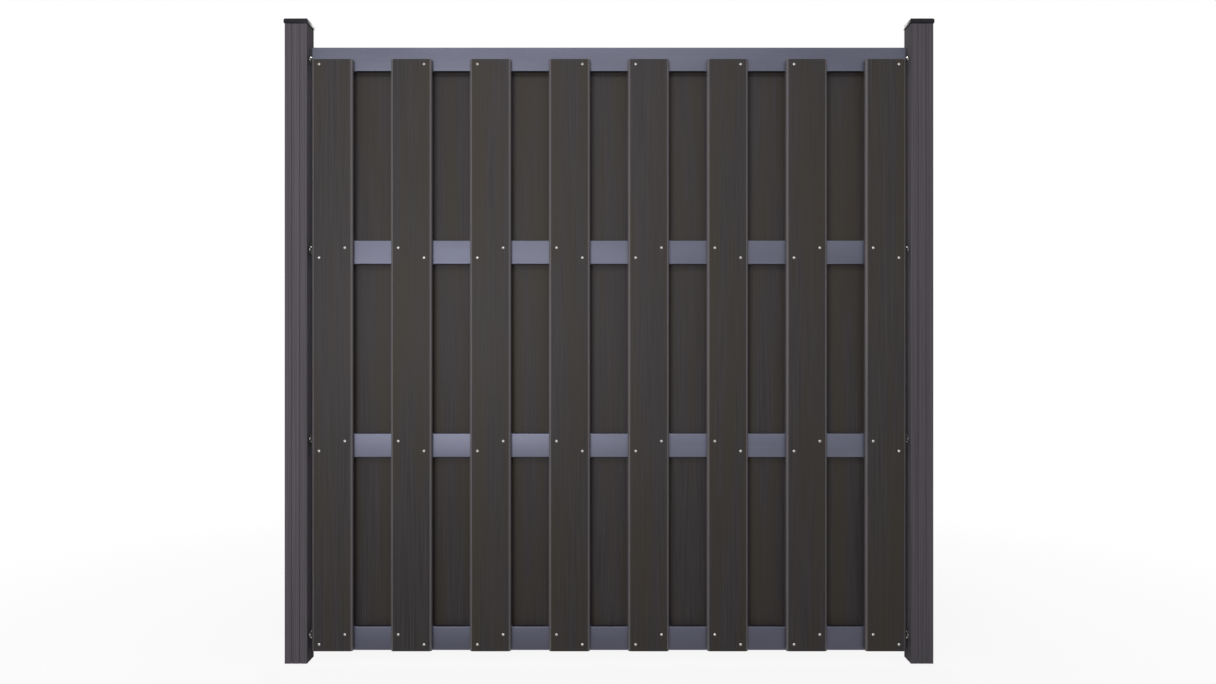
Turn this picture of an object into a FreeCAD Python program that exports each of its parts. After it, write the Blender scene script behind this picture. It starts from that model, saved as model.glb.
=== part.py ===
import FreeCAD, Part
import math
import os

# Garden privacy screen: upright boards screwed to both sides of four rails, between two posts.
# Millimetres. +Z is up, +X is to the right seen from the front, and the front faces -Y.
# The origin is on the ground, midway between the posts and in the middle of their depth.

# Posts: square hollow composite profile with two grooves along each face
post_side = 68.0
post_wall = 10.0
post_corner_radius = 2.0
post_bore_corner_radius = 3.0
post_groove_width = 3.4
post_groove_depth = 1.5
post_groove_offset = 12.3       # from the middle of a face to the middle of a groove
post_head = 65.0                # post standing above the top rail

# Post caps: moulded lid with a sloped edge and a skirt inside the post
cap_overhang = 2.5
cap_side_height = 10.0
cap_slope = 6.0
cap_wall = 3.0
cap_skirt_depth = 22.0
cap_skirt_clearance = 0.3

# Rails: hollow aluminium profile, closed at each end by a plug
rail_height = 72.0
rail_depth = 20.0
rail_wall = 2.0
rail_corner_radius = 2.5
rail_count = 4
rail_spacing = 588.0
rail_ground_clearance = 33.0
rail_overhang = 5.0             # rail with its plug, past the outer edge of the last board
plug_flange = 2.0
plug_leg_length = 12.0
plug_leg_height = 8.0
plug_leg_clearance = 0.2

# Boards: hollow composite profile with rounded long edges
panel_width = 1800.0
board_width = 124.0
board_thickness = 20.0
board_edge_radius = 9.0
board_count = 8                 # on the front; one fewer behind, over the gaps
back_pitch_extra = 2.4          # the back boards stand this much further apart than the front ones
board_foot_above_rail_foot = 3.0
board_head_lap = 31.0           # how far the boards reach up over the top rail
board_wall = 4.0
board_web = 4.0
board_solid_edge = 10.0
board_chambers = 5
board_chamber_radius = 1.5

# Board screws: pan head, one high and one low at each rail, changing sides from board to board
screw_radius = 2.0
screw_head_radius = 4.0
screw_head_height = 2.4
screw_dome_height = 1.6
screw_point_length = 4.0
screw_bite = 8.0                # point beyond the rail's wall
screw_side_margin = 23.0        # from the board's long edge
screw_row_offset = 15.0         # above and below the row's middle line
screw_row_slip = 3.0            # by which each row sinks against its rail; the second is in the middle
board_hole_clearance = 0.25
thread_clearance = 0.02
recess_width = 0.9
recess_length = 4.4
recess_depth = 1.2

# Angle brackets between post and rail: bent strip with round ends
bracket_leg = 25.0
bracket_width = 20.0
bracket_thickness = 2.0
bracket_inner_radius = 1.0
bracket_hole_clearance = 0.25
bracket_rise = (8.0, 19.0, 8.0, 0.0)    # above each rail's middle, from the lowest rail up
bracket_screw_bite = 6.0
bracket_screw_gap = 2.8         # free space between a screw head and the rail's plug
post_screw_margin = 1.0         # wall left beyond the point of a post screw

# Places worked out from the sizes above
half_depth = rail_depth / 2
rail_end_x = panel_width / 2 + rail_overhang
post_gap = bracket_thickness + screw_head_height + bracket_screw_gap
post_inner_x = rail_end_x + post_gap
post_x = post_inner_x + post_side / 2
rail_centres = [rail_ground_clearance + rail_height / 2 + k * rail_spacing for k in range(rail_count)]
rail_top = rail_centres[-1] + rail_height / 2
post_length = rail_top + post_head
board_foot = rail_ground_clearance + board_foot_above_rail_foot
board_head = rail_top - rail_height + board_head_lap
board_length = board_head - board_foot
board_pitch = (panel_width - board_width) / (board_count - 1)
board_centre_y = half_depth + board_thickness / 2
front_board_x = [-panel_width / 2 + board_width / 2 + i * board_pitch for i in range(board_count)]
back_pitch = board_pitch + back_pitch_extra
back_board_x = [(i - (board_count - 2) / 2) * back_pitch for i in range(board_count - 1)]

side_names = ("left", "right")


def vec(x, y, z):
    return FreeCAD.Vector(x, y, z)


def rounded_wire(width, depth, radius):
    """Rectangle with round corners, centred on the Z axis in the XY plane."""
    hx = width / 2
    hy = depth / 2
    mid = radius * (1 - math.sqrt(0.5))
    corners = [(hx, -hy, -1, 1), (hx, hy, -1, -1), (-hx, hy, 1, -1), (-hx, -hy, 1, 1)]
    edges = []
    last = None
    first = None
    for i, (cx, cy, sx, sy) in enumerate(corners):
        along_x = vec(cx + sx * radius, cy, 0)
        along_y = vec(cx, cy + sy * radius, 0)
        middle = vec(cx + sx * mid, cy + sy * mid, 0)
        start, end = (along_x, along_y) if i % 2 == 0 else (along_y, along_x)
        if last is not None:
            edges.append(Part.LineSegment(last, start).toShape())
        else:
            first = start
        edges.append(Part.Arc(start, middle, end).toShape())
        last = end
    edges.append(Part.LineSegment(last, first).toShape())
    return Part.Wire(edges)


def rounded_bar(width, depth, radius, length):
    """Solid bar along Z with round corners, standing on the XY plane."""
    return Part.Face(rounded_wire(width, depth, radius)).extrude(vec(0, 0, length))


def lay_along_x(shape):
    """Turns a bar that stands on the XY plane to run along +X, its width upright."""
    shape.rotate(vec(0, 0, 0), vec(0, 1, 0), 90)
    return shape


def facing_minus_y(shape):
    """Turns a screw that points down so that it points along +Y, its head at the front."""
    shape.rotate(vec(0, 0, 0), vec(1, 0, 0), 90)
    return shape


def facing_plus_y(shape):
    """Turns a screw that points down so that it points along -Y, its head at the back."""
    shape.rotate(vec(0, 0, 0), vec(1, 0, 0), -90)
    return shape


def placed(shape, x, y, z):
    copy = shape.copy()
    copy.translate(vec(x, y, z))
    return copy


def mirrored(shape, side):
    """The left side's shape as it is, or its mirror image for the right side."""
    if side == "left":
        return shape
    return shape.mirror(vec(0, 0, 0), vec(1, 0, 0))


def y_hole(x, z, radius):
    """Round cutter along Y through the whole depth of the screen."""
    reach = 2 * post_side
    return Part.makeCylinder(radius, reach, vec(x, -reach / 2, z), vec(0, 1, 0))


def post():
    """Post standing on the ground, centred on the Z axis."""
    shape = rounded_bar(post_side, post_side, post_corner_radius, post_length)
    bore_side = post_side - 2 * post_wall
    cutters = [rounded_bar(bore_side, bore_side, post_bore_corner_radius, post_length)]
    for offset in (-post_groove_offset, post_groove_offset):
        half = post_groove_width / 2
        face_y = -post_side / 2
        outside_y = face_y - post_groove_depth
        floor_half = half / 2
        outline = [
            vec(offset - half, outside_y, 0),
            vec(offset + half, outside_y, 0),
            vec(offset + half, face_y, 0),
            vec(offset + floor_half, face_y + post_groove_depth, 0),
            vec(offset - floor_half, face_y + post_groove_depth, 0),
            vec(offset - half, face_y, 0),
        ]
        outline.append(outline[0])
        groove = Part.Face(Part.makePolygon(outline)).extrude(vec(0, 0, post_length))
        for turn in range(4):
            turned = groove.copy()
            turned.rotate(vec(0, 0, 0), vec(0, 0, 1), 90 * turn)
            cutters.append(turned)
    return shape.cut(cutters)


def post_cap():
    """Cap centred on the Z axis, its rim resting on the XY plane."""
    side = post_side + 2 * cap_overhang
    height = cap_side_height + cap_slope
    lid = Part.makeBox(side, side, height, vec(-side / 2, -side / 2, 0))
    top_edges = [e for e in lid.Edges if e.BoundBox.ZMin > cap_side_height]
    lid = lid.makeChamfer(cap_slope, top_edges)
    skirt_side = post_side - 2 * post_wall - 2 * cap_skirt_clearance
    skirt_radius = post_bore_corner_radius
    skirt = rounded_bar(skirt_side, skirt_side, skirt_radius, cap_skirt_depth)
    skirt.translate(vec(0, 0, -cap_skirt_depth))
    hollow_side = skirt_side - 2 * cap_wall
    hollow = rounded_bar(hollow_side, hollow_side, skirt_radius / 2, cap_skirt_depth + height - cap_wall)
    hollow.translate(vec(0, 0, -cap_skirt_depth))
    return lid.fuse(skirt).removeSplitter().cut(hollow)


def rail_tube():
    """Rail centred on the origin, running along X, without holes."""
    length = 2 * (rail_end_x - plug_flange)
    outside = rounded_bar(rail_height, rail_depth, rail_corner_radius, length)
    inner_radius = rail_corner_radius - rail_wall
    inside = rounded_bar(rail_height - 2 * rail_wall, rail_depth - 2 * rail_wall, inner_radius, length)
    tube = lay_along_x(outside.cut(inside))
    tube.translate(vec(-length / 2, 0, 0))
    return tube


def rail_plug():
    """Plug for the left end of a rail at the height of the origin."""
    shape = lay_along_x(rounded_bar(rail_height, rail_depth, rail_corner_radius, plug_flange))
    leg_depth = rail_depth - 2 * rail_wall - 2 * plug_leg_clearance
    leg_outside = rail_height / 2 - rail_wall - plug_leg_clearance
    for low in (leg_outside - plug_leg_height, -leg_outside):
        corner = vec(plug_flange, -leg_depth / 2, low)
        leg = Part.makeBox(plug_leg_length, leg_depth, plug_leg_height, corner)
        shape = shape.fuse(leg)
    shape.translate(vec(-rail_end_x, 0, 0))
    return shape


def board():
    """Board centred on the Z axis, standing on the XY plane, without holes."""
    shape = rounded_bar(board_width, board_thickness, board_edge_radius, board_length)
    span = board_width - 2 * board_solid_edge
    chamber_width = (span - (board_chambers - 1) * board_web) / board_chambers
    chamber_depth = board_thickness - 2 * board_wall
    cutters = []
    for i in range(board_chambers):
        x = -span / 2 + chamber_width / 2 + i * (chamber_width + board_web)
        chamber = rounded_bar(chamber_width, chamber_depth, board_chamber_radius, board_length)
        cutters.append(placed(chamber, x, 0, 0))
    return shape.cut(cutters)


def screw(length):
    """Pan-head screw along Z: the head stands on the XY plane and the point is below it."""
    head_side = screw_head_height - screw_dome_height
    dome_rise = screw_dome_height
    sphere = (screw_head_radius ** 2 + dome_rise ** 2) / (2 * dome_rise)
    half = screw_head_radius / 2
    dome_middle = head_side + dome_rise - sphere + math.sqrt(sphere ** 2 - half ** 2)
    rim = vec(screw_head_radius, 0, head_side)
    crown = vec(0, 0, screw_head_height)
    corners = [
        crown,
        vec(0, 0, -length),
        vec(screw_radius, 0, screw_point_length - length),
        vec(screw_radius, 0, 0),
        vec(screw_head_radius, 0, 0),
        rim,
    ]
    edges = [Part.LineSegment(a, b).toShape() for a, b in zip(corners, corners[1:])]
    edges.append(Part.Arc(rim, vec(half, 0, dome_middle), crown).toShape())
    shape = Part.Face(Part.Wire(edges)).revolve(vec(0, 0, 0), vec(0, 0, 1), 360)
    floor = screw_head_height - recess_depth
    long_half = recess_length / 2
    wide_half = recess_width / 2
    slot = Part.makeBox(recess_length, recess_width, recess_depth, vec(-long_half, -wide_half, floor))
    cross = Part.makeBox(recess_width, recess_length, recess_depth, vec(-wide_half, -long_half, floor))
    return shape.cut([slot, cross])


def screw_places(board_x, index):
    """Places (x, z) of one board's screws: high on one side, low on the other, and one at the head."""
    side = board_width / 2 - screw_side_margin
    low_x, high_x = (board_x - side, board_x + side) if index % 2 == 0 else (board_x + side, board_x - side)
    places = []
    for k, centre in enumerate(rail_centres[:-1]):
        row = centre + (1 - k) * screw_row_slip
        places.append((low_x, row - screw_row_offset))
        places.append((high_x, row + screw_row_offset))
    places.append((low_x, board_head - board_head_lap / 2))
    return places


def bracket_leg_plate():
    """Straight leg in the XZ plane from the end of the bend to the round tip, 0 to -thickness in Y."""
    bend = bracket_thickness + bracket_inner_radius
    half = bracket_width / 2
    straight_end = bracket_leg - half
    edges = [
        Part.LineSegment(vec(bend, 0, -half), vec(straight_end, 0, -half)).toShape(),
        Part.Arc(vec(straight_end, 0, -half), vec(bracket_leg, 0, 0), vec(straight_end, 0, half)).toShape(),
        Part.LineSegment(vec(straight_end, 0, half), vec(bend, 0, half)).toShape(),
        Part.LineSegment(vec(bend, 0, half), vec(bend, 0, -half)).toShape(),
    ]
    plate = Part.Face(Part.Wire(edges)).extrude(vec(0, -bracket_thickness, 0))
    hole_radius = screw_radius + bracket_hole_clearance
    reach = 4 * bracket_thickness
    hole = Part.makeCylinder(hole_radius, reach, vec(straight_end, -reach / 2, 0), vec(0, 1, 0))
    return plate.cut(hole)


def bracket():
    """Bracket with its outer corner on the Z axis: one leg along +X, the other along -Y."""
    outer = bracket_thickness + bracket_inner_radius
    inner = bracket_inner_radius
    half = bracket_width / 2
    diagonal = math.sqrt(0.5)
    centre_x = outer
    centre_y = -outer
    edges = [
        Part.LineSegment(vec(centre_x, centre_y + inner, -half), vec(centre_x, 0, -half)).toShape(),
        Part.Arc(
            vec(centre_x, 0, -half),
            vec(centre_x - outer * diagonal, centre_y + outer * diagonal, -half),
            vec(0, centre_y, -half),
        ).toShape(),
        Part.LineSegment(vec(0, centre_y, -half), vec(centre_x - inner, centre_y, -half)).toShape(),
        Part.Arc(
            vec(centre_x - inner, centre_y, -half),
            vec(centre_x - inner * diagonal, centre_y + inner * diagonal, -half),
            vec(centre_x, centre_y + inner, -half),
        ).toShape(),
    ]
    bend = Part.Face(Part.Wire(edges)).extrude(vec(0, 0, bracket_width))
    rail_leg = bracket_leg_plate()
    post_leg = bracket_leg_plate()
    post_leg = post_leg.mirror(vec(0, 0, 0), vec(1, 1, 0))
    return bend.fuse([rail_leg, post_leg]).removeSplitter()


def write(shape, name):
    """Writes one node, after checking that each of its solids is sound."""
    for solid in shape.Solids:
        if not solid.isValid() or solid.Volume <= 0:
            raise ValueError("bad solid in " + name)
    node = shape.Solids[0] if len(shape.Solids) == 1 else Part.makeCompound(shape.Solids)
    node.exportStep("parts/" + name + ".step")
    box = shape.BoundBox
    print(f"{name}: {len(shape.Solids)} solid(s), x {box.XMin:.1f} to {box.XMax:.1f}, "
          f"y {box.YMin:.1f} to {box.YMax:.1f}, z {box.ZMin:.1f} to {box.ZMax:.1f}")


os.makedirs("parts", exist_ok=True)

# Where each screw goes
front_places = [screw_places(x, i) for i, x in enumerate(front_board_x)]
back_places = [screw_places(x, i) for i, x in enumerate(back_board_x)]
bracket_heights = [z + bracket_rise[k % len(bracket_rise)] for k, z in enumerate(rail_centres)]
bracket_hole_reach = bracket_leg - bracket_width / 2
bracket_corner_y = half_depth + bracket_thickness
bracket_rail_hole_x = post_inner_x - bracket_hole_reach
bracket_post_hole_y = bracket_corner_y - bracket_hole_reach
pilot_radius = screw_radius + thread_clearance

# Posts, with a pilot hole for each bracket in the inner face, and their caps
bore_wall_x = post_side / 2 - post_wall
pilots = []
for z in bracket_heights:
    start = vec(bore_wall_x, bracket_post_hole_y, z)
    pilots.append(Part.makeCylinder(pilot_radius, post_wall, start, vec(1, 0, 0)))
plain_post = post()
for side in side_names:
    left_post = plain_post.cut(pilots)
    left_post.translate(vec(-post_x, 0, 0))
    write(mirrored(left_post, side), "post_" + side)
    write(mirrored(placed(post_cap(), -post_x, 0, post_length), side), "post_cap_" + side)

# Boards, front and back, each with its screw holes
plain_board = board()
hole_radius = screw_radius + board_hole_clearance
for row, xs, places, y in (
    ("front", front_board_x, front_places, -board_centre_y),
    ("back", back_board_x, back_places, board_centre_y),
):
    for i, x in enumerate(xs):
        holes = [y_hole(hx, hz, hole_radius) for hx, hz in places[i]]
        write(placed(plain_board, x, y, board_foot).cut(holes), f"{row}_board_{i + 1}")

# Rails, with the front boards' screws in the front wall and the rest in the back wall
plain_rail = rail_tube()
front_start_y = -half_depth - rail_wall
back_start_y = half_depth - 2 * rail_wall
for k, centre in enumerate(rail_centres):
    low = centre - rail_height / 2
    high = centre + rail_height / 2
    front_holes = [p for group in front_places for p in group if low < p[1] < high]
    back_holes = [p for group in back_places for p in group if low < p[1] < high]
    for z in bracket_heights:
        if low < z < high:
            back_holes += [(-bracket_rail_hole_x, z), (bracket_rail_hole_x, z)]
    starts = [vec(x, front_start_y, z) for x, z in front_holes]
    starts += [vec(x, back_start_y, z) for x, z in back_holes]
    cutters = [Part.makeCylinder(pilot_radius, 3 * rail_wall, start, vec(0, 1, 0)) for start in starts]
    write(placed(plain_rail, 0, 0, centre).cut(cutters), f"rail_{k + 1}")

# Plugs in the rails' ends
for side in side_names:
    for k, centre in enumerate(rail_centres):
        write(mirrored(placed(rail_plug(), 0, 0, centre), side), f"rail_plug_{side}_{k + 1}")

# Brackets, bent round the back corner of each rail's end
for side in side_names:
    for k, z in enumerate(bracket_heights):
        left_bracket = placed(bracket(), -post_inner_x, bracket_corner_y, z)
        write(mirrored(left_bracket, side), f"bracket_{side}_{k + 1}")

# Screws, in groups of identical ones
board_screw = screw(board_thickness + rail_wall + screw_bite)
front_screw = facing_minus_y(board_screw.copy())
back_screw = facing_plus_y(board_screw.copy())
board_face_y = half_depth + board_thickness
for row, screw_shape, groups, y in (
    ("front", front_screw, front_places, -board_face_y),
    ("back", back_screw, back_places, board_face_y),
):
    screws = [placed(screw_shape, x, y, z) for group in groups for x, z in group]
    write(Part.makeCompound(screws), row + "_board_screws")

rail_screw = facing_plus_y(screw(bracket_thickness + rail_wall + bracket_screw_bite))
rail_screws = []
for z in bracket_heights:
    for x in (-bracket_rail_hole_x, bracket_rail_hole_x):
        rail_screws.append(placed(rail_screw, x, bracket_corner_y, z))
write(Part.makeCompound(rail_screws), "bracket_rail_screws")

post_screw = screw(bracket_thickness + post_wall - post_screw_margin)
post_screw.rotate(vec(0, 0, 0), vec(0, 1, 0), 90)
head_x = -post_inner_x + bracket_thickness
left_screws = [placed(post_screw, head_x, bracket_post_hole_y, z) for z in bracket_heights]
post_screws = [mirrored(s, side) for side in side_names for s in left_screws]
write(Part.makeCompound(post_screws), "bracket_post_screws")
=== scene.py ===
import math
import bpy
import bmesh
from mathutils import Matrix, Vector


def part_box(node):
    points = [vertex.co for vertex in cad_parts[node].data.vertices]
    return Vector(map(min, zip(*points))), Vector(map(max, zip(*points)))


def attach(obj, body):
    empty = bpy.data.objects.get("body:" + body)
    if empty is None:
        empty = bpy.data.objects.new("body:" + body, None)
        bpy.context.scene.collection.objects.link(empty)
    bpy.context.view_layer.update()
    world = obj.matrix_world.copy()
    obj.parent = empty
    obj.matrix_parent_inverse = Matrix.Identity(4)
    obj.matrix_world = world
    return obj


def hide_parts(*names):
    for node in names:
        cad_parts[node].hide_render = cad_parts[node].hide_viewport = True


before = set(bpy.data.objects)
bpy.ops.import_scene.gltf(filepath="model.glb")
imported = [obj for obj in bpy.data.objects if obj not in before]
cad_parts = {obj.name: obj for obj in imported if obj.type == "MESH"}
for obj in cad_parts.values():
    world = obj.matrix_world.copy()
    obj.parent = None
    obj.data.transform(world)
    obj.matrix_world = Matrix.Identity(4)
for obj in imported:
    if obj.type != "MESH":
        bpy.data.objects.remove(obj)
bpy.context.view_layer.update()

# Garden privacy screen: composite boards on both sides of four aluminium rails, between two capped posts.
# Metres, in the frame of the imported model: +Z up, +X to the right, and the front faces -Y.

mm = 0.001
boardNumbers = {"front": range(1, 9), "back": range(1, 8)}
railNumbers = range(1, 5)


def centreOf(node):
    low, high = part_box(node)
    return (low + high) / 2


def sizeOf(node):
    low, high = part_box(node)
    return high - low


def linearColour(hexText):
    # sRGB hex, as a paint program shows it, to the linear numbers of Blender's sockets
    channels = [int(hexText[i:i + 2], 16) / 255 for i in (1, 3, 5)]
    return [c / 12.92 if c <= 0.04045 else ((c + 0.055) / 1.055) ** 2.4 for c in channels] + [1]


def addNode(tree, kind, settings=None, inputs=None):
    # inputs: socket name or number -> a value, another node's output, or a node for its first output
    node = tree.nodes.new(kind)
    for name, value in (settings or {}).items():
        setattr(node, name, value)
    for key, value in (inputs or {}).items():
        if isinstance(value, bpy.types.Node):
            value = value.outputs[0]
        if isinstance(value, bpy.types.NodeSocket):
            tree.links.new(value, node.inputs[key])
        else:
            node.inputs[key].default_value = value
    return node


# Materials. In a Mix node, inputs 6 and 7 and output 2 are its colours, and inputs 2 and 3 its numbers.

noiseSpan = {"From Min": 0.3, "From Max": 0.7}      # nearly all of a noise pattern lies in it


def newMaterial(name):
    material = bpy.data.materials.new(name)
    material.use_nodes = True
    material.node_tree.nodes.clear()
    return material, material.node_tree


def finishMaterial(tree, shader):
    # shader: the inputs of the one Principled shader
    principled = addNode(tree, "ShaderNodeBsdfPrincipled", inputs=shader)
    addNode(tree, "ShaderNodeOutputMaterial", inputs={"Surface": principled})


def grain(tree, size, detail, roughness=0.55):
    # noise in Object coordinates whose grains are size = (x, y, z) metres large; detail: how many finer
    # layers lie on it, and roughness: how strong each is beside the one before
    coordinates = addNode(tree, "ShaderNodeTexCoord")
    scale = addNode(tree, "ShaderNodeMapping", inputs={
        "Vector": coordinates.outputs["Object"],
        "Scale": [1 / s for s in size],
    })
    noise = addNode(tree, "ShaderNodeTexNoise", inputs={
        "Vector": scale,
        "Scale": 1.0,
        "Detail": detail,
        "Roughness": roughness,
    })
    return noise.outputs["Fac"]


def twoTone(tree, pattern, look, span=noiseSpan):
    # the look's dark colour where the pattern is at the low end of the span, its light one at the high end
    rise = addNode(tree, "ShaderNodeMapRange", inputs={"Value": pattern, **span})
    colour = addNode(tree, "ShaderNodeMix", {"data_type": "RGBA"}, {
        0: rise,
        6: linearColour(look["dark"]),
        7: linearColour(look["light"]),
    })
    return colour.outputs[2]


boardLook = {
    "dark": "#2c292b",
    "light": "#464243",
    "warm": "#3b352d",
    "warmFrom": 0.42,           # where in the cloud pattern the brownish tint begins
    "warmTo": 0.7,              # where it is full
    "warmShare": 0.9,           # how much of the warm colour it then has
    "toneDark": 0.95,           # boards differ a little in shade
    "toneLight": 1.05,
    "brushWidth": 1.6 * mm,
    "brushLength": 220 * mm,
    "cloudWidth": 38 * mm,
    "cloudLength": 700 * mm,
    "brushDepth": 0.05 * mm,
    "flourGrain": 0.9 * mm,
    "flourDepth": 0.02 * mm,
    # paler colour of the sideways-turned edges: a painted highlight for the light line along them
    "skinAndPaintedHighlight": "#706b6e",
    "skinHighlightFrom": 0.2,            # how far a face has turned sideways where the brush begins to miss it and the painted highlight begins
    "skinHighlightTo": 0.5,
    "skinRoughness": 0.26,
    "smooth": 0.5,
    "rough": 0.64,
    "ior": 1.49,
    "specular": 0.2,
}


def makeBrushedComposite(look):
    # Wood-plastic composite, extruded and brushed along its length: matt brown-grey with faint upright
    # streaks, and slow changes from bluish to brownish across each board. The brush misses the rounded
    # edges, which keep the smoother surface the die left; their paler colour is a painted highlight that
    # stands in for the thin light line along them. Real brush lines are about 0.3 mm wide; they are drawn
    # wider so that they show from three metres away.
    material, tree = newMaterial("brushedWoodPlasticComposite")
    brush = grain(tree, (look["brushWidth"], look["brushWidth"], look["brushLength"]), 4.0)
    cloud = grain(tree, (look["cloudWidth"], look["cloudWidth"], look["cloudLength"]), 2.0)
    flour = grain(tree, [look["flourGrain"]] * 3, 2.0)
    tone = addNode(tree, "ShaderNodeAttribute", {"attribute_name": "pieceTone"})
    sideways = addNode(tree, "ShaderNodeAttribute", {"attribute_name": "sideways"})
    warmth = addNode(tree, "ShaderNodeMapRange", inputs={
        "Value": cloud,
        "From Min": look["warmFrom"],
        "From Max": look["warmTo"],
        "To Max": look["warmShare"],
    })
    warmed = addNode(tree, "ShaderNodeMix", {"data_type": "RGBA"}, {
        0: warmth,
        6: twoTone(tree, brush, look),
        7: linearColour(look["warm"]),
    })
    level = addNode(tree, "ShaderNodeMapRange", inputs={
        "Value": tone.outputs["Fac"],
        "To Min": look["toneDark"],
        "To Max": look["toneLight"],
    })
    toned = addNode(tree, "ShaderNodeVectorMath", {"operation": "SCALE"}, {
        0: warmed.outputs[2],
        "Scale": level,
    })
    # painted highlight: edges turned sideways get the paler edge colour; the same mask also makes them
    # smoother
    skinAndPaintedHighlight = addNode(tree, "ShaderNodeMapRange", inputs={
        "Value": sideways.outputs["Fac"],
        "From Min": look["skinHighlightFrom"],
        "From Max": look["skinHighlightTo"],
    })
    colour = addNode(tree, "ShaderNodeMix", {"data_type": "RGBA"}, {
        0: skinAndPaintedHighlight,
        6: toned,
        7: linearColour(look["skinAndPaintedHighlight"]),
    })
    brushed = addNode(tree, "ShaderNodeMapRange", inputs={
        "Value": brush,
        **noiseSpan,
        "To Min": look["smooth"],
        "To Max": look["rough"],
    })
    roughness = addNode(tree, "ShaderNodeMix", {"data_type": "FLOAT"}, {
        0: skinAndPaintedHighlight,
        2: brushed,
        3: look["skinRoughness"],
    })
    brushLines = addNode(tree, "ShaderNodeBump", inputs={"Distance": look["brushDepth"], "Height": brush})
    relief = addNode(tree, "ShaderNodeBump", inputs={
        "Distance": look["flourDepth"],
        "Height": flour,
        "Normal": brushLines,
    })
    finishMaterial(tree, {
        "Base Color": colour.outputs[2],
        "Roughness": roughness,
        "IOR": look["ior"],
        "Specular IOR Level": look["specular"],
        "Normal": relief,
    })
    return material


postLook = {
    "dark": "#534f54",
    "light": "#6a656c",
    "streakWidth": 2.2 * mm,
    "streakLength": 500 * mm,
    "flourGrain": 1.4 * mm,
    "flourCrispness": 0.7,
    "flourWeight": 0.35,        # how much the specks tell in the colour, beside the die lines
    "mixSpan": {"From Min": 0.45, "From Max": 0.9},
    "streakDepth": 0.03 * mm,
    "flourDepth": 0.03 * mm,
    "smooth": 0.8,
    "rough": 0.95,
    "ior": 1.49,
    "specular": 0.05,
}


def makeExtrudedComposite(look):
    # Wood-plastic composite as it leaves the die: fully matt and paler than the brushed boards, with
    # faint straight die lines and the specks of wood flour.
    material, tree = newMaterial("extrudedWoodPlasticComposite")
    streak = grain(tree, (look["streakWidth"], look["streakWidth"], look["streakLength"]), 3.0)
    flour = grain(tree, [look["flourGrain"]] * 3, 3.0, look["flourCrispness"])
    mixed = addNode(tree, "ShaderNodeMath", {"operation": "MULTIPLY_ADD"}, {
        0: flour,
        1: look["flourWeight"],
        2: streak,
    })
    roughness = addNode(tree, "ShaderNodeMapRange", inputs={
        "Value": flour,
        **noiseSpan,
        "To Min": look["smooth"],
        "To Max": look["rough"],
    })
    dieLines = addNode(tree, "ShaderNodeBump", inputs={"Distance": look["streakDepth"], "Height": streak})
    relief = addNode(tree, "ShaderNodeBump", inputs={
        "Distance": look["flourDepth"],
        "Height": flour,
        "Normal": dieLines,
    })
    finishMaterial(tree, {
        "Base Color": twoTone(tree, mixed, look, look["mixSpan"]),
        "Roughness": roughness,
        "IOR": look["ior"],
        "Specular IOR Level": look["specular"],
        "Normal": relief,
    })
    return material


railLook = {
    "dark": "#50515e",
    "light": "#5f606d",
    "lineHeight": 0.9 * mm,
    "lineLength": 900 * mm,
    "lineDepth": 0.012 * mm,
    "cloudHeight": 90 * mm,
    "cloudLength": 360 * mm,
    "cloudWeight": 0.6,         # how much the clouds tell in the colour, beside the lines
    "mixSpan": {"From Min": 0.5, "From Max": 1.1},
    "paintedCornerHighlight": 1.35,        # painted highlight: the rounded corners are painted a little paler than the flats, for the light line along them
    "cornerHighlightFrom": 0.05,         # where on the rounding that begins
    "cornerHighlightTo": 0.3,            # where it is full
    "bathDark": 0.79,           # lengths from different anodising baths differ a little in shade
    "bathLight": 1.14,
    "smooth": 0.45,
    "rough": 0.57,
}


def makeAnodisedAluminium(look):
    # Aluminium, extruded and anodised blue-grey: a satin metal with very fine lines along its length
    # that draw highlights out sideways. The lines are drawn about three times as wide as real ones.
    material, tree = newMaterial("anodisedExtrudedAluminium")
    line = grain(tree, (look["lineLength"], look["lineHeight"], look["lineHeight"]), 4.0)
    cloud = grain(tree, (look["cloudLength"], look["cloudHeight"], look["cloudHeight"]), 2.0)
    tone = addNode(tree, "ShaderNodeAttribute", {"attribute_name": "pieceTone"})
    sideways = addNode(tree, "ShaderNodeAttribute", {"attribute_name": "sideways"})
    mixed = addNode(tree, "ShaderNodeMath", {"operation": "MULTIPLY_ADD"}, {
        0: cloud,
        1: look["cloudWeight"],
        2: line,
    })
    bath = addNode(tree, "ShaderNodeMapRange", inputs={
        "Value": tone.outputs["Fac"],
        "To Min": look["bathDark"],
        "To Max": look["bathLight"],
    })
    # sideways is 0 or 1 on the flats; folded at one half, it is above 0 on the rounded corners alone
    folded = addNode(tree, "ShaderNodeMath", {"operation": "PINGPONG"}, {0: sideways.outputs["Fac"], 1: 0.5})
    # painted highlight: the rounded corners are made paler than the flats
    corner = addNode(tree, "ShaderNodeMapRange", inputs={
        "Value": folded,
        "From Min": look["cornerHighlightFrom"],
        "From Max": look["cornerHighlightTo"],
        "To Min": 1.0,
        "To Max": look["paintedCornerHighlight"],
    })
    level = addNode(tree, "ShaderNodeMath", {"operation": "MULTIPLY"}, {0: bath, 1: corner})
    colour = addNode(tree, "ShaderNodeVectorMath", {"operation": "SCALE"}, {
        0: twoTone(tree, mixed, look, look["mixSpan"]),
        "Scale": level,
    })
    roughness = addNode(tree, "ShaderNodeMapRange", inputs={
        "Value": line,
        **noiseSpan,
        "To Min": look["smooth"],
        "To Max": look["rough"],
    })
    relief = addNode(tree, "ShaderNodeBump", inputs={"Distance": look["lineDepth"], "Height": line})
    finishMaterial(tree, {
        "Base Color": colour,
        "Metallic": 1.0,
        "Roughness": roughness,
        "Normal": relief,
    })
    return material


capLook = {
    "dark": "#1f1e25",
    "light": "#292830",
    "mottle": 20 * mm,
    "orangePeel": 2.5 * mm,
    "peelDepth": 0.02 * mm,
    "smooth": 0.3,
    "rough": 0.42,
    "ior": 1.53,
    "specular": 0.1,
}


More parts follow.
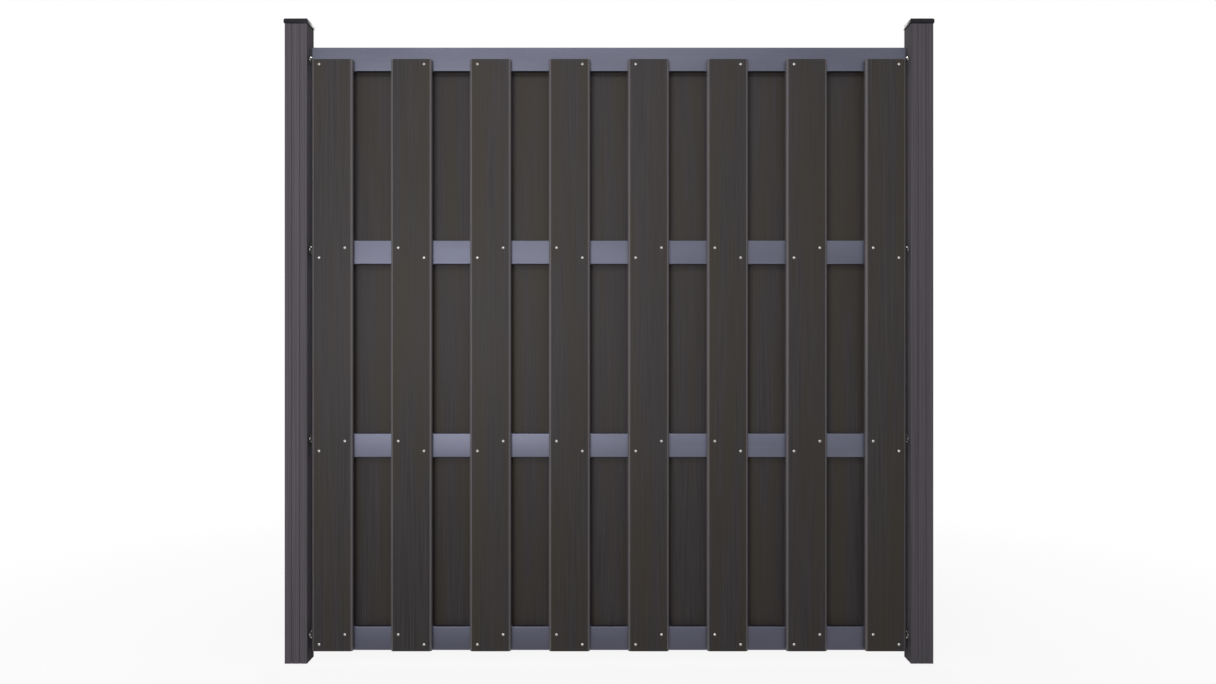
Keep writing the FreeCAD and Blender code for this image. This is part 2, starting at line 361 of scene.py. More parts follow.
def makeMouldedPlastic(look):
    # ABS, injection moulded: dark, smooth and satin, with the soft ripple of the mould's surface.
    material, tree = newMaterial("mouldedAbs")
    peel = grain(tree, [look["orangePeel"]] * 3, 2.0)
    mottle = grain(tree, [look["mottle"]] * 3, 2.0)
    roughness = addNode(tree, "ShaderNodeMapRange", inputs={
        "Value": mottle,
        **noiseSpan,
        "To Min": look["smooth"],
        "To Max": look["rough"],
    })
    relief = addNode(tree, "ShaderNodeBump", inputs={"Distance": look["peelDepth"], "Height": peel})
    finishMaterial(tree, {
        "Base Color": twoTone(tree, mottle, look),
        "Roughness": roughness,
        "IOR": look["ior"],
        "Specular IOR Level": look["specular"],
        "Normal": relief,
    })
    return material


plugLook = {
    "dark": "#141416",
    "light": "#1e1e20",
    "sparkGrain": 0.8 * mm,
    "sparkDepth": 0.04 * mm,
    "roughness": 0.6,
    "ior": 1.51,
}


def makeMouldedPolyethylene(look):
    # Polyethylene, moulded in a spark-eroded tool: black and dull, with a fine even grain.
    material, tree = newMaterial("mouldedPolyethylene")
    spark = grain(tree, [look["sparkGrain"]] * 3, 2.0)
    relief = addNode(tree, "ShaderNodeBump", inputs={"Distance": look["sparkDepth"], "Height": spark})
    finishMaterial(tree, {
        "Base Color": twoTone(tree, spark, look),
        "Roughness": look["roughness"],
        "IOR": look["ior"],
        "Normal": relief,
    })
    return material


steelLook = {
    "dark": "#8f8d89",
    "light": "#b9b8b4",
    "dentWidth": 0.5 * mm,
    "dentDepth": 0.01 * mm,
    "smooth": 0.2,
    "rough": 0.36,
}


def makeStainlessSteel(look):
    # Stainless steel, cold-headed or punched and then tumbled: bright, with tiny dents from tumbling
    # that break up its reflections.
    material, tree = newMaterial("tumbledStainlessSteel")
    dents = grain(tree, [look["dentWidth"]] * 3, 3.0)
    roughness = addNode(tree, "ShaderNodeMapRange", inputs={
        "Value": dents,
        **noiseSpan,
        "To Min": look["smooth"],
        "To Max": look["rough"],
    })
    relief = addNode(tree, "ShaderNodeBump", inputs={"Distance": look["dentDepth"], "Height": dents})
    finishMaterial(tree, {
        "Base Color": twoTone(tree, dents, look),
        "Metallic": 1.0,
        "Roughness": roughness,
        "Normal": relief,
    })
    return material


brushedComposite = makeBrushedComposite(boardLook)
extrudedComposite = makeExtrudedComposite(postLook)
anodisedAluminium = makeAnodisedAluminium(railLook)
mouldedAbs = makeMouldedPlastic(capLook)
mouldedPolyethylene = makeMouldedPolyethylene(plugLook)
stainlessSteel = makeStainlessSteel(steelLook)
print("materials:", len(bpy.data.materials))


# Shapes in the XY plane, and how Geometry Nodes turn them into pieces

profileSharpAngle = 30      # degrees; faces that meet more sharply keep a hard edge between them
fastenerSharpAngle = 35


def roundedRectangle(width, depth, radius, steps):
    points = []
    for sideX, sideY, startAngle in ((1, 1, 0), (-1, 1, 90), (-1, -1, 180), (1, -1, 270)):
        for i in range(steps + 1):
            angle = math.radians(startAngle + 90 * i / steps)
            x = sideX * (width / 2 - radius) + radius * math.cos(angle)
            y = sideY * (depth / 2 - radius) + radius * math.sin(angle)
            points.append((x, y))
    return points


def softened(corners, steps):
    # corners: (x, y, cut); each corner becomes a curve that starts and ends cut away from it
    points = []
    for i, (x, y, cut) in enumerate(corners):
        corner = Vector((x, y))
        before = Vector(corners[i - 1][:2]) - corner
        after = Vector(corners[(i + 1) % len(corners)][:2]) - corner
        start = corner + before.normalized() * cut
        end = corner + after.normalized() * cut
        for k in range(steps + 1):
            t = k / steps
            points.append(start * (1 - t) ** 2 + corner * 2 * t * (1 - t) + end * t ** 2)
    return [(p[0], p[1]) for p in points]


def outlineObject(name, outlines):
    # closed outlines as loops of edges, the first one outside and the others holes
    vertices = []
    edges = []
    for outline in outlines:
        start = len(vertices)
        count = len(outline)
        vertices += [(x, y, 0) for x, y in outline]
        edges += [(start + i, start + (i + 1) % count) for i in range(count)]
    mesh = bpy.data.meshes.new(name)
    mesh.from_pydata(vertices, edges, [])
    piece = bpy.data.objects.new(name, mesh)
    bpy.context.scene.collection.objects.link(piece)
    return piece


def newTree(name, sockets):
    # sockets: (name, type) of the inputs after the geometry
    tree = bpy.data.node_groups.new(name, "GeometryNodeTree")
    tree.interface.new_socket("Geometry", in_out="INPUT", socket_type="NodeSocketGeometry")
    for socketName, socketType in sockets:
        tree.interface.new_socket(socketName, in_out="INPUT", socket_type="NodeSocket" + socketType)
    tree.interface.new_socket("Geometry", in_out="OUTPUT", socket_type="NodeSocketGeometry")
    return tree, addNode(tree, "NodeGroupInput").outputs


def finishTree(tree, instances, given):
    # every tree ends with real, shaded faces
    real = addNode(tree, "GeometryNodeRealizeInstances", inputs={0: instances})
    shaded = addNode(tree, "GeometryNodeSetMaterial", inputs={0: real, "Material": given["Material"]})
    addNode(tree, "NodeGroupOutput", inputs={0: shaded})


def makeExtrusionTree():
    # fills an outline, draws it out along +Z, and repeats the bar along a line; "sideways" is 0 on
    # faces that look along the outline's Y and 1 on those that look along its X
    tree, given = newTree("extrudedBars", [
        ("Length", "Float"),
        ("Turn", "Vector"),
        ("Count", "Int"),
        ("First", "Vector"),
        ("Step", "Vector"),
        ("Seed", "Int"),
        ("Material", "Material"),
    ])
    curve = addNode(tree, "GeometryNodeMeshToCurve", inputs={0: given["Geometry"]})
    face = addNode(tree, "GeometryNodeFillCurve", inputs={0: curve})
    bar = addNode(tree, "GeometryNodeExtrudeMesh", {"mode": "FACES"}, {
        "Mesh": face,
        "Offset Scale": given["Length"],
        "Individual": False,
    })
    foot = addNode(tree, "GeometryNodeFlipFaces", inputs={0: face})
    both = addNode(tree, "GeometryNodeJoinGeometry")
    tree.links.new(bar.outputs[0], both.inputs[0])
    tree.links.new(foot.outputs[0], both.inputs[0])
    closed = addNode(tree, "GeometryNodeMergeByDistance", inputs={0: both, "Distance": 0.001 * mm})
    normal = addNode(tree, "GeometryNodeInputNormal")
    across = addNode(tree, "ShaderNodeSeparateXYZ", inputs={0: normal})
    sideways = addNode(tree, "ShaderNodeMath", {"operation": "ABSOLUTE"}, {0: across.outputs["X"]})
    marked = addNode(tree, "GeometryNodeStoreNamedAttribute", {"data_type": "FLOAT", "domain": "FACE"}, {
        "Geometry": closed,
        "Name": "sideways",
        "Value": sideways,
    })
    line = addNode(tree, "GeometryNodeMeshLine", inputs={
        "Count": given["Count"],
        "Start Location": given["First"],
        "Offset": given["Step"],
    })
    bars = addNode(tree, "GeometryNodeInstanceOnPoints", inputs={
        "Points": line,
        "Instance": marked,
        "Rotation": given["Turn"],
    })
    tone = addNode(tree, "FunctionNodeRandomValue", {"data_type": "FLOAT"}, {"Seed": given["Seed"]})
    toned = addNode(tree, "GeometryNodeStoreNamedAttribute", {"data_type": "FLOAT", "domain": "INSTANCE"}, {
        "Geometry": bars,
        "Name": "pieceTone",
        "Value": tone.outputs[1],
    })
    finishTree(tree, toned, given)
    return tree


def makeFastenerTree():
    # sets a copy of one object on every point, turned as the point says, and spun by chance in its hole
    tree, given = newTree("fastenersOnPoints", [
        ("Shape", "Object"),
        ("Spin", "Float"),
        ("Seed", "Int"),
        ("Material", "Material"),
    ])
    shape = addNode(tree, "GeometryNodeObjectInfo", inputs={"Object": given["Shape"]})
    turn = addNode(tree, "GeometryNodeInputNamedAttribute", {"data_type": "FLOAT_VECTOR"}, {"Name": "turn"})
    copies = addNode(tree, "GeometryNodeInstanceOnPoints", inputs={
        "Points": given["Geometry"],
        "Instance": shape.outputs["Geometry"],
        "Rotation": turn,
    })
    angle = addNode(tree, "FunctionNodeRandomValue", {"data_type": "FLOAT"}, {
        3: given["Spin"],
        "Seed": given["Seed"],
    })
    axis = addNode(tree, "ShaderNodeCombineXYZ", inputs={2: angle.outputs[1]})
    spun = addNode(tree, "GeometryNodeRotateInstances", inputs={
        "Instances": copies,
        "Rotation": axis,
        "Local Space": True,
    })
    finishTree(tree, spun, given)
    return tree


def plainMesh(piece):
    depsgraph = bpy.context.evaluated_depsgraph_get()
    return bpy.data.meshes.new_from_object(piece.evaluated_get(depsgraph))


def runTree(piece, tree, values, sharpAngle=profileSharpAngle, bevel=None):
    # sets the tree's inputs, turns the result into a plain mesh and takes the modifier away
    modifier = piece.modifiers.new("build", "NODES")
    modifier.node_group = tree
    sockets = {item.name: item.identifier for item in tree.interface.items_tree if item.in_out == "INPUT"}
    for name, value in values.items():
        modifier[sockets[name]] = value
    if bevel:
        addBevel(piece, bevel)
    mesh = plainMesh(piece)
    mesh.name = piece.name
    piece.modifiers.clear()
    piece.data = mesh
    shadeSmooth(mesh, sharpAngle)


def addBevel(piece, width):
    bevel = piece.modifiers.new("edges", "BEVEL")
    bevel.width = width
    bevel.segments = 2
    bevel.limit_method = "ANGLE"
    bevel.angle_limit = math.radians(50)


def shadeSmooth(mesh, sharpAngle):
    mesh.polygons.foreach_set("use_smooth", [True] * len(mesh.polygons))
    mesh.set_sharp_from_angle(angle=math.radians(sharpAngle))


def joinRings(builder, lower, upper):
    for i in range(len(lower)):
        k = (i + 1) % len(lower)
        builder.faces.new((lower[i], lower[k], upper[k], upper[i]))


def meshObject(name, builder, linked=True):
    mesh = bpy.data.meshes.new(name)
    bmesh.ops.recalc_face_normals(builder, faces=builder.faces)
    builder.to_mesh(mesh)
    builder.free()
    piece = bpy.data.objects.new(name, mesh)
    if linked:
        bpy.context.scene.collection.objects.link(piece)
    return piece


def mount(piece, nodes):
    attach(piece, "root")
    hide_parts(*nodes)
    print(piece.name, "in place of", len(nodes), "nodes,", len(piece.data.polygons), "faces")


extrusionTree = makeExtrusionTree()
fastenerTree = makeFastenerTree()


# Boards

board = {
    "edgeRadius": 9 * mm,
    "edgeSteps": 8,
    "wall": 4 * mm,
    "web": 4 * mm,
    "solidEdge": 10 * mm,
    "chambers": 5,
    "chamberRadius": 1.5 * mm,
    "chamberSteps": 2,
    "sawnEdge": 0.35 * mm,
    "seed": {"front": 4, "back": 11},
}


def makeBoards(row):
    nodes = [f"{row}_board_{n}" for n in boardNumbers[row]]
    size = sizeOf(nodes[0])
    outlines = [roundedRectangle(size.x, size.y, board["edgeRadius"], board["edgeSteps"])]
    span = size.x - 2 * board["solidEdge"]
    chamberWidth = (span - (board["chambers"] - 1) * board["web"]) / board["chambers"]
    chamberDepth = size.y - 2 * board["wall"]
    for i in range(board["chambers"]):
        middle = -span / 2 + chamberWidth / 2 + i * (chamberWidth + board["web"])
        chamber = roundedRectangle(chamberWidth, chamberDepth, board["chamberRadius"], board["chamberSteps"])
        outlines.append([(x + middle, y) for x, y in chamber])
    first = centreOf(nodes[0])
    step = centreOf(nodes[1]) - first
    piece = outlineObject(row + "Boards", outlines)
    runTree(piece, extrusionTree, {
        "Length": size.z,
        "Turn": (0.0, 0.0, 0.0),
        "Count": len(nodes),
        "First": (first.x, first.y, first.z - size.z / 2),
        "Step": tuple(step),
        "Seed": board["seed"][row],
        "Material": brushedComposite,
    }, bevel=board["sawnEdge"])
    mount(piece, nodes)


makeBoards("front")
makeBoards("back")


# Posts and caps

post = {
    "wall": 10 * mm,
    "corner": 2 * mm,
    "boreCorner": 3 * mm,
    "cornerSteps": 4,
    "grooveWidth": 3.4 * mm,
    "grooveFloor": 1.7 * mm,
    "grooveDepth": 2.2 * mm,
    "grooveOffset": 12.3 * mm,
    "grooveLip": 0.35 * mm,
    "seed": 2,
}


def postOutline(side):
    # one face at a time, anticlockwise: corner, groove, groove
    half = side / 2
    mouth = post["grooveWidth"] / 2
    narrow = post["grooveFloor"] / 2
    lip = post["grooveLip"]
    corners = []
    for turn in range(4):
        face = [(-half, -half, post["corner"])]
        for offset in (-post["grooveOffset"], post["grooveOffset"]):
            floor = -half + post["grooveDepth"]
            face += [
                (offset - mouth, -half, lip),
                (offset - narrow, floor, lip),
                (offset + narrow, floor, lip),
                (offset + mouth, -half, lip),
            ]
        cos, sin = (1, 0, -1, 0)[turn], (0, 1, 0, -1)[turn]
        corners += [(x * cos - y * sin, x * sin + y * cos, cut) for x, y, cut in face]
    return softened(corners, post["cornerSteps"])


def makePosts():
    size = sizeOf("post_left")
    left = centreOf("post_left")
    right = centreOf("post_right")
    bore = size.x - 2 * post["wall"]
    piece = outlineObject("posts", [
        postOutline(size.x),
        roundedRectangle(bore, bore, post["boreCorner"], post["cornerSteps"]),
    ])
    runTree(piece, extrusionTree, {
        "Length": size.z,
        "Turn": (0.0, 0.0, 0.0),
        "Count": 2,
        "First": (left.x, left.y, left.z - size.z / 2),
        "Step": tuple(right - left),
        "Seed": post["seed"],
        "Material": extrudedComposite,
    })
    mount(piece, ["post_left", "post_right"])


makePosts()

cap = {
    "lipInset": 4 * mm,         # a narrow step under the lid, which shows as a dark line
    "lipHeight": 1.8 * mm,
    "side": 12.5 * mm,
    "slope": 3.5 * mm,
    "corner": 0.8 * mm,
    "edge": 0.5 * mm,
    "skirtInset": 12.8 * mm,
    "skirtCorner": 3 * mm,
    "skirtWall": 3 * mm,
    "roof": 3 * mm,
    "cornerSteps": 4,
}


def makeCaps():
    # rings from the inside of the skirt, down round its rim, out under the lid, and over the lid to its
    # top; the shares of "edge" round the lid's three outer edges
    low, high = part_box("post_cap_left")
    size = high - low
    rim = high.z - cap["side"] - cap["slope"]
    half = size.x / 2
    skirt = half - cap["skirtInset"]
    inside = skirt - cap["skirtWall"]
    edge = cap["edge"]
    lip = half - cap["lipInset"]
    under = rim + cap["lipHeight"]
    rings = [
        (inside, cap["skirtCorner"] / 2, high.z - cap["roof"]),
        (inside, cap["skirtCorner"] / 2, low.z),
        (skirt, cap["skirtCorner"], low.z),
        (skirt, cap["skirtCorner"], rim),
        (lip, cap["corner"], rim),
        (lip, cap["corner"], under),
        (half - edge, cap["corner"], under),
        (half - 0.3 * edge, cap["corner"], under + 0.3 * edge),
        (half, cap["corner"], under + edge),
        (half, cap["corner"], rim + cap["side"] - edge),
        (half - 0.2 * edge, cap["corner"], rim + cap["side"]),
        (half - edge, cap["corner"], rim + cap["side"] + edge),
        (half - cap["slope"] + edge, cap["corner"], high.z - edge),
        (half - cap["slope"], cap["corner"], high.z - 0.25 * edge),
        (half - cap["slope"] - 1.2 * edge, cap["corner"], high.z),
    ]
    builder = bmesh.new()
    for node in ("post_cap_left", "post_cap_right"):
        middle = centreOf(node)
        last = None
        for halfSide, radius, z in rings:
            outline = roundedRectangle(2 * halfSide, 2 * halfSide, radius, cap["cornerSteps"])
            ring = [builder.verts.new((middle.x + x, middle.y + y, z)) for x, y in outline]
            if last is None:
                builder.faces.new(ring)
            else:
                joinRings(builder, last, ring)
            last = ring
        builder.faces.new(last)
    piece = meshObject("postCaps", builder)
    piece.data.materials.append(mouldedAbs)
    shadeSmooth(piece.data, profileSharpAngle)
    mount(piece, ["post_cap_left", "post_cap_right"])


makeCaps()


# Rails and their plugs

rail = {
    "wall": 2 * mm,
    "corner": 2.5 * mm,
    "boreCorner": 0.5 * mm,
    "cornerSteps": 5,
    "boreSteps": 2,
    "seed": 30,
}


def makeRails():
    nodes = [f"rail_{n}" for n in railNumbers]
    size = sizeOf(nodes[0])
    first = centreOf(nodes[0])
    step = centreOf(nodes[1]) - first
    wall = rail["wall"]
    outlines = [
        roundedRectangle(size.z, size.y, rail["corner"], rail["cornerSteps"]),
        roundedRectangle(size.z - 2 * wall, size.y - 2 * wall, rail["boreCorner"], rail["boreSteps"]),
    ]
    piece = outlineObject("rails", outlines)
    runTree(piece, extrusionTree, {
        "Length": size.x,
        "Turn": (0.0, math.radians(90), 0.0),
        "Count": len(nodes),
        "First": (first.x - size.x / 2, first.y, first.z),
        "Step": tuple(step),
        "Seed": rail["seed"],
        "Material": anodisedAluminium,
    })
    mount(piece, nodes)


makeRails()

for side in ("left", "right"):
    for number in railNumbers:
        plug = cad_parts[f"rail_plug_{side}_{number}"]
        plug.data.materials.clear()
        plug.data.materials.append(mouldedPolyethylene)


# Screws and angle brackets

screw = {
    "radius": 2 * mm,
    "headRadius": 4 * mm,
    "headHeight": 2.4 * mm,
    "domeHeight": 1.6 * mm,
    "headSides": 24,
    "domeRings": (1.0, 0.94, 0.85, 0.72),    # shares of the head's radius, outermost first
    "recessHalfLength": 2.1 * mm,
    "recessHalfWidth": 0.45 * mm,
    "recessDepth": 1.2 * mm,
    "recessTaper": 0.8,                      # width of the recess's floor as a share of its mouth
    "shankSides": 8,
    "pointLength": 4 * mm,
    "lengths": {"board": 30 * mm, "bracketRail": 10 * mm, "bracketPost": 11 * mm},
    "sideMargin": 23 * mm,                   # from a board's edge
    "rowOffset": 15 * mm,                    # above and below the middle of a row
    "rowSlip": 3 * mm,                       # the rows stand this much closer together than the rails
    "seed": 5,
}


def domeHeightAt(radius):
    rise = screw["domeHeight"]
    sphere = (screw["headRadius"] ** 2 + rise ** 2) / (2 * rise)
    return screw["headHeight"] - sphere + math.sqrt(sphere ** 2 - radius ** 2)


def ringOf(builder, radius, z, sides):
    steps = [2 * math.pi * i / sides for i in range(sides)]
    return [builder.verts.new((radius * math.cos(a), radius * math.sin(a), z)) for a in steps]


def makeScrew(name, length):
    # pan head with a cross recess, its underside on the XY plane, and a plain shank with a point below
    builder = bmesh.new()
    sides = screw["headSides"]
    shank = ringOf(builder, screw["radius"], 0, screw["shankSides"])
    cone = ringOf(builder, screw["radius"], screw["pointLength"] - length, screw["shankSides"])
    tip = builder.verts.new((0, 0, -length))
    joinRings(builder, cone, shank)
    for i in range(len(cone)):
        builder.faces.new((cone[i], tip, cone[(i + 1) % len(cone)]))
    builder.faces.new(shank)
    under = ringOf(builder, screw["headRadius"], 0, sides)
    builder.faces.new(list(reversed(under)))
    last = under
    for share in screw["domeRings"]:
        radius = share * screw["headRadius"]
        ring = ringOf(builder, radius, domeHeightAt(radius), sides)
        joinRings(builder, last, ring)
        last = ring
    long, wide = screw["recessHalfLength"], screw["recessHalfWidth"]
    arm = [(long, -wide), (long, wide), (wide, wide)]
    cross = []
    for cos, sin in ((1, 0), (0, 1), (-1, 0), (0, -1)):
        cross += [(x * cos - y * sin, x * sin + y * cos) for x, y in arm]
    mouth = [builder.verts.new((x, y, domeHeightAt(math.hypot(x, y)))) for x, y in cross]
    taper = screw["recessTaper"]
    floorZ = screw["headHeight"] - screw["recessDepth"]
    floor = [builder.verts.new((taper * x, taper * y, floorZ)) for x, y in cross]
    joinRings(builder, floor, mouth)
    builder.faces.new(list(reversed(floor)))
    loops = []
    for ring in (last, mouth):
        loops += [builder.edges.get(ends) for ends in zip(ring, ring[1:] + ring[:1])]
    bmesh.ops.triangle_fill(builder, edges=loops, use_beauty=True)
    piece = meshObject(name, builder, linked=False)
    shadeSmooth(piece.data, fastenerSharpAngle)
    return piece


def pointsObject(name, points):
    # points: (place, turn)
    mesh = bpy.data.meshes.new(name)
    mesh.from_pydata([place for place, turn in points], [], [])
    turns = mesh.attributes.new("turn", "FLOAT_VECTOR", "POINT")
    turns.data.foreach_set("vector", [value for place, turn in points for value in turn])
    piece = bpy.data.objects.new(name, mesh)
    bpy.context.scene.collection.objects.link(piece)
    return piece


def makeFasteners(name, points, shape, nodes, spin=math.tau):
    # spin: how far round its own axis a fastener may be turned by chance
    piece = pointsObject(name, points)
    runTree(piece, fastenerTree, {
        "Shape": shape,
        "Spin": spin,
        "Seed": screw["seed"],
        "Material": stainlessSteel,
    }, fastenerSharpAngle)
    mount(piece, nodes)


def boardScrewPlaces(row):
    # at each lower rail a low screw and a high one, changing sides from board to board, and at the top
    # rail, where the boards end halfway up, only the low one
    faceY = {"front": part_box("front_board_1")[0].y, "back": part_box("back_board_1")[1].y}[row]
    turn = (math.radians(90 if row == "front" else -90), 0, 0)
    points = []
    for n in boardNumbers[row]:
        low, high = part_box(f"{row}_board_{n}")
        lowX, highX = low.x + screw["sideMargin"], high.x - screw["sideMargin"]
        if n % 2 == 0:
            lowX, highX = highX, lowX
        for k, number in enumerate(list(railNumbers)[:-1]):
            middle = centreOf(f"rail_{number}").z + (1 - k) * screw["rowSlip"]
            points.append(((lowX, faceY, middle - screw["rowOffset"]), turn))
            points.append(((highX, faceY, middle + screw["rowOffset"]), turn))
        lap = (high.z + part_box(f"rail_{railNumbers[-1]}")[0].z) / 2
        points.append(((lowX, faceY, lap), turn))
    return points


boardScrew = makeScrew("boardScrewShape", screw["lengths"]["board"])
for row in ("front", "back"):
    places = boardScrewPlaces(row)
    makeFasteners(row + "BoardScrews", places, boardScrew, [row + "_board_screws"])

bracket = {
    "leg": 25 * mm,
    "width": 20 * mm,
    "thickness": 2 * mm,
    "bendRadius": 3 * mm,
    "holeRadius": 2.25 * mm,
    "bendSteps": 6,
    "tipSteps": 14,
    "acrossSteps": 8,
    "edge": 0.3 * mm,
}


def bracketPoint(u, w, depth):
    # u runs along the strip: 0 to 1 round the bend, and below 0 and above 1 along the straight legs,
    # each of which is 1 long
    bend = bracket["bendRadius"]
    straight = bracket["leg"] - bend
    if u < 0:
        return (bend - u * straight, -depth, w)
    if u > 1:
        return (depth, -bend - (u - 1) * straight, w)
    angle = u * math.pi / 2
    reach = bend - depth
    return (bend - reach * math.sin(angle), -bend + reach * math.cos(angle), w)


def bracketStrip():
    # the flat strip in (u, w), as faces of point numbers; s is the way along a leg from the bend
    half = bracket["width"] / 2
    straight = bracket["leg"] - bracket["bendRadius"]
    holeAt = straight - half
    steps = bracket["acrossSteps"]
    across = [half - i * bracket["width"] / steps for i in range(steps + 1)]
    points = []
    faces = []

    def add(u, w):
        points.append((u, w))
        return len(points) - 1

    seams = []
    for bendEnd, direction in ((0, -1), (1, 1)):
        outer = [(0.0, w) for w in across]
        for i in range(bracket["tipSteps"] + 1):
            angle = -math.pi / 2 + math.pi * i / bracket["tipSteps"]
            outer.append((holeAt + half * math.cos(angle), half * math.sin(angle)))
        outerIds = []
        innerIds = []
        for s, w in outer:
            shrink = bracket["holeRadius"] / math.hypot(s - holeAt, w)
            holeS = holeAt + (s - holeAt) * shrink
            outerIds.append(add(bendEnd + direction * s / straight, w))
            innerIds.append(add(bendEnd + direction * holeS / straight, w * shrink))
        for i in range(len(outerIds)):
            k = (i + 1) % len(outerIds)
            faces.append((outerIds[i], outerIds[k], innerIds[k], innerIds[i]))
        seams.append(outerIds[:len(across)])
    last = seams[0]
    for step in range(1, bracket["bendSteps"] + 1):
        ring = seams[1]
        if step < bracket["bendSteps"]:
            ring = [add(step / bracket["bendSteps"], w) for w in across]
        for i in range(len(across) - 1):
            faces.append((last[i], last[i + 1], ring[i + 1], ring[i]))
        last = ring
    return points, faces


def makeBracket():
    # two layers of the strip, joined along its rim, which is where only one face uses an edge
    points, faces = bracketStrip()
    builder = bmesh.new()
    layers = []
    for depth in (0, bracket["thickness"]):
        layers.append([builder.verts.new(bracketPoint(u, w, depth)) for u, w in points])
    edgeUses = {}
    for face in faces:
        for layer in layers:
            builder.faces.new([layer[i] for i in face])
        for a, b in zip(face, face[1:] + face[:1]):
            key = (min(a, b), max(a, b))
            edgeUses[key] = edgeUses.get(key, 0) + 1
    for (a, b), count in edgeUses.items():
        if count == 1:
            builder.faces.new((layers[0][a], layers[0][b], layers[1][b], layers[1][a]))
    piece = meshObject("bracketShape", builder)
    addBevel(piece, bracket["edge"])
    mesh = plainMesh(piece)
    shadeSmooth(mesh, fastenerSharpAngle)
    bpy.data.objects.remove(piece)
    return bpy.data.objects.new("bracketShape", mesh)


def makeBracketsAndScrews():
    bracketPoints = []
    railPoints = []
    postPoints = []
    nodes = []
    holeReach = bracket["leg"] - bracket["width"] / 2
    for side, sign in (("left", -1), ("right", 1)):
        for number in railNumbers:
            node = f"bracket_{side}_{number}"
            nodes.append(node)
            low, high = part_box(node)
            cornerX = low.x if side == "left" else high.x
            z = (low.z + high.z) / 2
            turnZ = 0 if side == "left" else math.radians(-90)
            bracketPoints.append(((cornerX, high.y, z), (0, 0, turnZ)))
            railPoints.append(((cornerX - sign * holeReach, high.y, z), (math.radians(-90), 0, 0)))
            headX = cornerX - sign * bracket["thickness"]
            postPoints.append(((headX, high.y - holeReach, z), (0, math.radians(-90 * sign), 0)))
    makeFasteners("brackets", bracketPoints, makeBracket(), nodes, spin=0.0)
    for name, points, node in (
        ("bracketRail", railPoints, "bracket_rail_screws"),
        ("bracketPost", postPoints, "bracket_post_screws"),
    ):
        shape = makeScrew(name + "ScrewShape", screw["lengths"][name])
        makeFasteners(name + "Screws", points, shape, [node])


makeBracketsAndScrews()


# Floor, light and camera

stage = {
    "floorSize": 30.0,
    "floorGrey": "#848484",         # what the floor throws back on the screen
    "floorWhite": "#ffffff",        # what it shows
    "shadowShare": 0.12,            # share of the floor's look that takes light and shadow
    "shadowReach": (1.2, 3.0),      # metres from the screen over which that share fades out
    "worldLight": 0.17,
}
lamps = {
    "key": {"place": (-1.05, -3.3, 1.2), "aim": (-0.2, 0.0, 1.1), "size": (1.3, 1.3), "watts": 49},
    "fill": {"place": (2.2, -4.2, 1.8), "aim": (0.0, 0.0, 1.1), "size": (2.0, 2.0), "watts": 9},
    "top": {"place": (-0.4, -2.6, 3.6), "aim": (0.0, 0.0, 1.1), "size": (2.4, 0.7), "watts": 29},
    "left": {"place": (-3.6, -0.7, 1.4), "aim": (0.0, 0.0, 1.1), "size": (1.2, 2.4), "watts": 12},
    "right": {"place": (3.6, -0.7, 1.4), "aim": (0.0, 0.0, 1.1), "size": (1.2, 2.4), "watts": 12},
    "back": {"place": (0.0, 9.0, 4.2), "aim": (0.0, 0.0, 1.0), "size": (4.0, 3.0), "watts": 300},
}
view = {
    "place": (0.0, -2.952, 0.984),
    "focalPixels": 966.0,           # focal length in pixels of the frame
    "frameWidth": 1216.0,
    "sensor": 36.0,
    "shiftX": -1.0,                 # pixels of the frame
    "shiftY": -4.0,
}


def backgroundRays(tree):
    # 1 for rays that show the background: to the camera, in reflections and through glass
    rays = addNode(tree, "ShaderNodeLightPath")
    shown = rays.outputs["Is Camera Ray"]
    for name in ("Is Glossy Ray", "Is Transmission Ray"):
        shown = addNode(tree, "ShaderNodeMath", {"operation": "MAXIMUM"}, {0: shown, 1: rays.outputs[name]})
    return shown


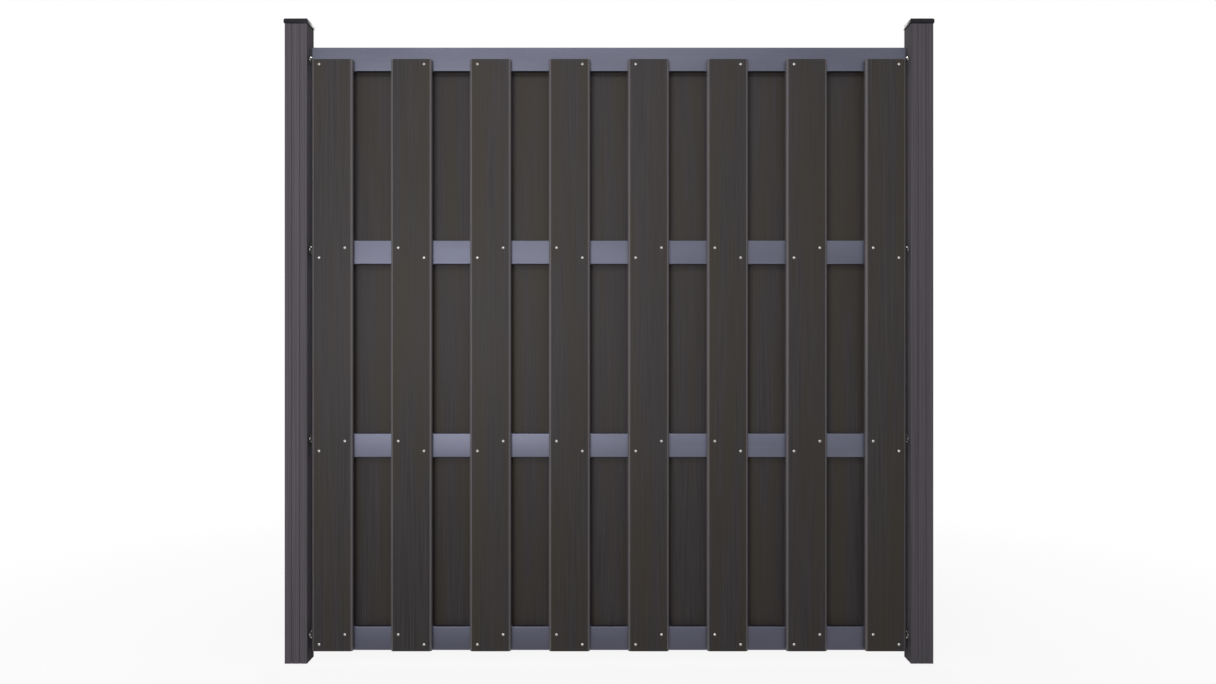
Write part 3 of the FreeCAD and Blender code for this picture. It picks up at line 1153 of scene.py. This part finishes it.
def makeFloor():
    builder = bmesh.new()
    half = stage["floorSize"] / 2
    sides = ((-1, -1), (1, -1), (1, 1), (-1, 1))
    builder.faces.new([builder.verts.new((x * half, y * half, 0)) for x, y in sides])
    floor = meshObject("floor", builder)
    # Matt white paint. It shows an even white of its own, so that it meets the backdrop unseen; near the
    # screen a small share of what it shows takes light and shadow instead.
    material, tree = newMaterial("paintedStudioFloor")
    shown = backgroundRays(tree)
    tone = addNode(tree, "ShaderNodeMix", {"data_type": "RGBA"}, {
        0: shown,
        6: linearColour(stage["floorGrey"]),
        7: linearColour(stage["floorWhite"]),
    })
    paint = addNode(tree, "ShaderNodeBsdfDiffuse", inputs={"Color": tone.outputs[2]})
    white = addNode(tree, "ShaderNodeEmission", inputs={"Color": (1, 1, 1, 1), "Strength": 1.0})
    coordinates = addNode(tree, "ShaderNodeTexCoord")
    distance = addNode(tree, "ShaderNodeVectorMath", {"operation": "LENGTH"}, {
        0: coordinates.outputs["Object"],
    })
    near, far = stage["shadowReach"]
    ownLight = addNode(tree, "ShaderNodeMapRange", inputs={
        "Value": distance.outputs["Value"],
        "From Min": near,
        "From Max": far,
        "To Min": 1 - stage["shadowShare"],
    })
    factor = addNode(tree, "ShaderNodeMath", {"operation": "MULTIPLY"}, {0: ownLight, 1: shown})
    mixed = addNode(tree, "ShaderNodeMixShader", inputs={0: factor, 1: paint, 2: white})
    addNode(tree, "ShaderNodeOutputMaterial", inputs={"Surface": mixed})
    floor.data.materials.append(material)


def makeWorld():
    # plain white to the camera, in reflections and through glass, and a lower, even light on all else
    world = bpy.data.worlds.new("whiteStudio")
    bpy.context.scene.world = world
    world.use_nodes = True
    tree = world.node_tree
    tree.nodes.clear()
    shown = backgroundRays(tree)
    light = addNode(tree, "ShaderNodeBackground", inputs={
        "Color": (1, 1, 1, 1),
        "Strength": stage["worldLight"],
    })
    white = addNode(tree, "ShaderNodeBackground", inputs={"Color": (1, 1, 1, 1), "Strength": 1.0})
    mixed = addNode(tree, "ShaderNodeMixShader", inputs={0: shown, 1: light, 2: white})
    addNode(tree, "ShaderNodeOutputWorld", inputs={"Surface": mixed})


def makeLamps():
    for name, lamp in lamps.items():
        light = bpy.data.lights.new(name, "AREA")
        light.shape = "RECTANGLE"
        light.size, light.size_y = lamp["size"]
        light.energy = lamp["watts"]
        holder = bpy.data.objects.new(name, light)
        holder.location = lamp["place"]
        holder.visible_camera = False
        aim = Vector(lamp["aim"]) - Vector(lamp["place"])
        holder.rotation_euler = aim.to_track_quat("-Z", "Y").to_euler()
        bpy.context.scene.collection.objects.link(holder)


def makeCamera():
    camera = bpy.data.cameras.new("camera")
    camera.sensor_width = view["sensor"]
    camera.lens = view["focalPixels"] * view["sensor"] / view["frameWidth"]
    camera.shift_x = view["shiftX"] / view["frameWidth"]
    camera.shift_y = view["shiftY"] / view["frameWidth"]
    holder = bpy.data.objects.new("camera", camera)
    holder.location = view["place"]
    holder.rotation_euler = (math.radians(90), 0, 0)
    bpy.context.scene.collection.objects.link(holder)
    bpy.context.scene.camera = holder


makeFloor()
makeWorld()
makeLamps()
makeCamera()
bpy.context.scene.view_settings.view_transform = "Standard"
print("stage, light and camera are set")
